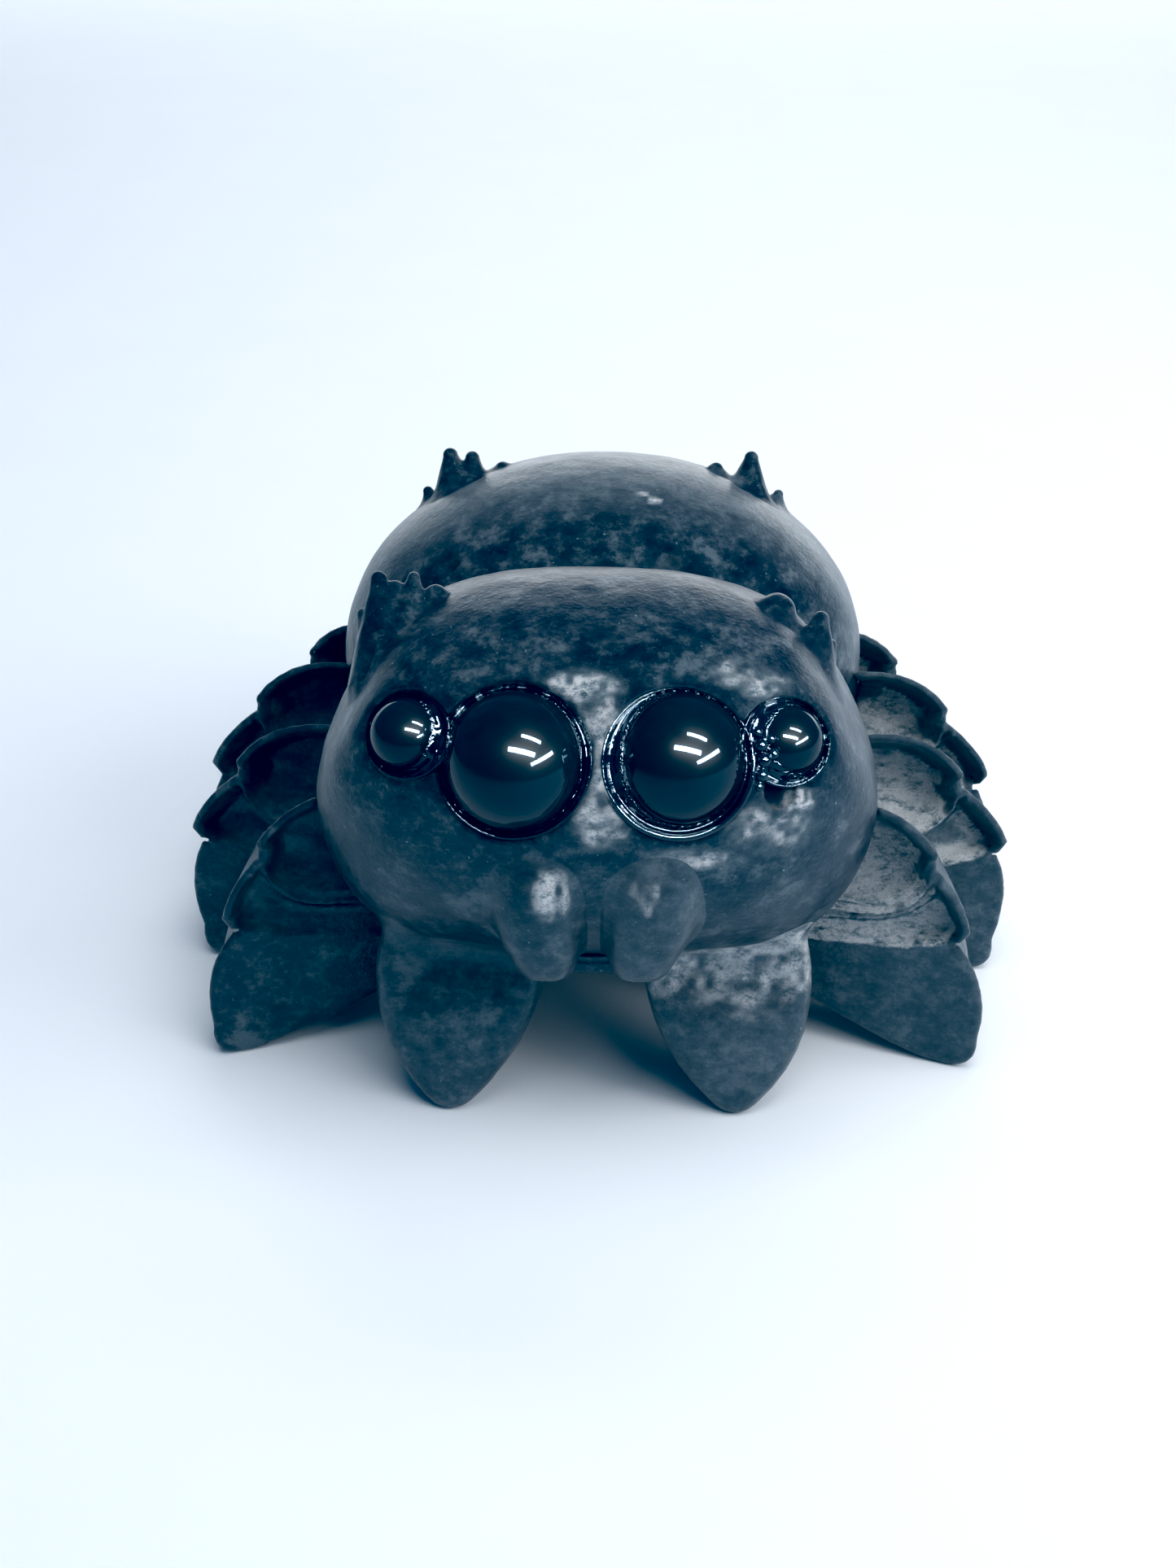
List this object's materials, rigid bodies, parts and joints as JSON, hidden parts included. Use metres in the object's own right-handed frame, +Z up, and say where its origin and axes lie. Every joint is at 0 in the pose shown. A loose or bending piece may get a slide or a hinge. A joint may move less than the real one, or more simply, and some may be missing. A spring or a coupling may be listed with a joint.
{
  "type": "carved spider figurine",
  "caption": "Small carved jumping spider figurine with inlaid black bead eyes, standing on its front limbs and legs as a desk ornament.",
  "frame": {"origin": "on the ground under the middle of the whole figure", "axes": "+Z up, -Y the way the face looks, +X to the right when facing the spider from the front"},
  "size_m": [0.06, 0.052, 0.0336],
  "materials": {
    "carved_wood": "satin, waxed, dark, with unpolished sparkling hollows",
    "bead": "high gloss black",
    "glue": "clear cured glue, wet look",
    "dowel": "plain, hidden"
  },
  "bodies": {
    "root": {"head": "carved_wood", "abdomen": "carved_wood", "waist_dowel": "dowel", "chelicera_left": "carved_wood", "chelicera_right": "carved_wood", "mouth_plate": "carved_wood", "palp_left": "carved_wood", "palp_right": "carved_wood", "leg_front_left": "carved_wood", "leg_front_right": "carved_wood", "leg_second_left": "carved_wood", "leg_second_right": "carved_wood", "leg_third_left": "carved_wood", "leg_third_right": "carved_wood", "leg_rear_left": "carved_wood", "leg_rear_right": "carved_wood", "head_tuft_left": "carved_wood", "head_tuft_right": "carved_wood", "abdomen_tuft_left": "carved_wood", "abdomen_tuft_right": "carved_wood", "eye_large_left": "bead", "eye_large_right": "bead", "eye_small_left": "bead", "eye_small_right": "bead", "glue_large_left": "glue", "glue_large_right": "glue", "glue_small_left": "glue", "glue_small_right": "glue"}
  },
  "joints": []
}
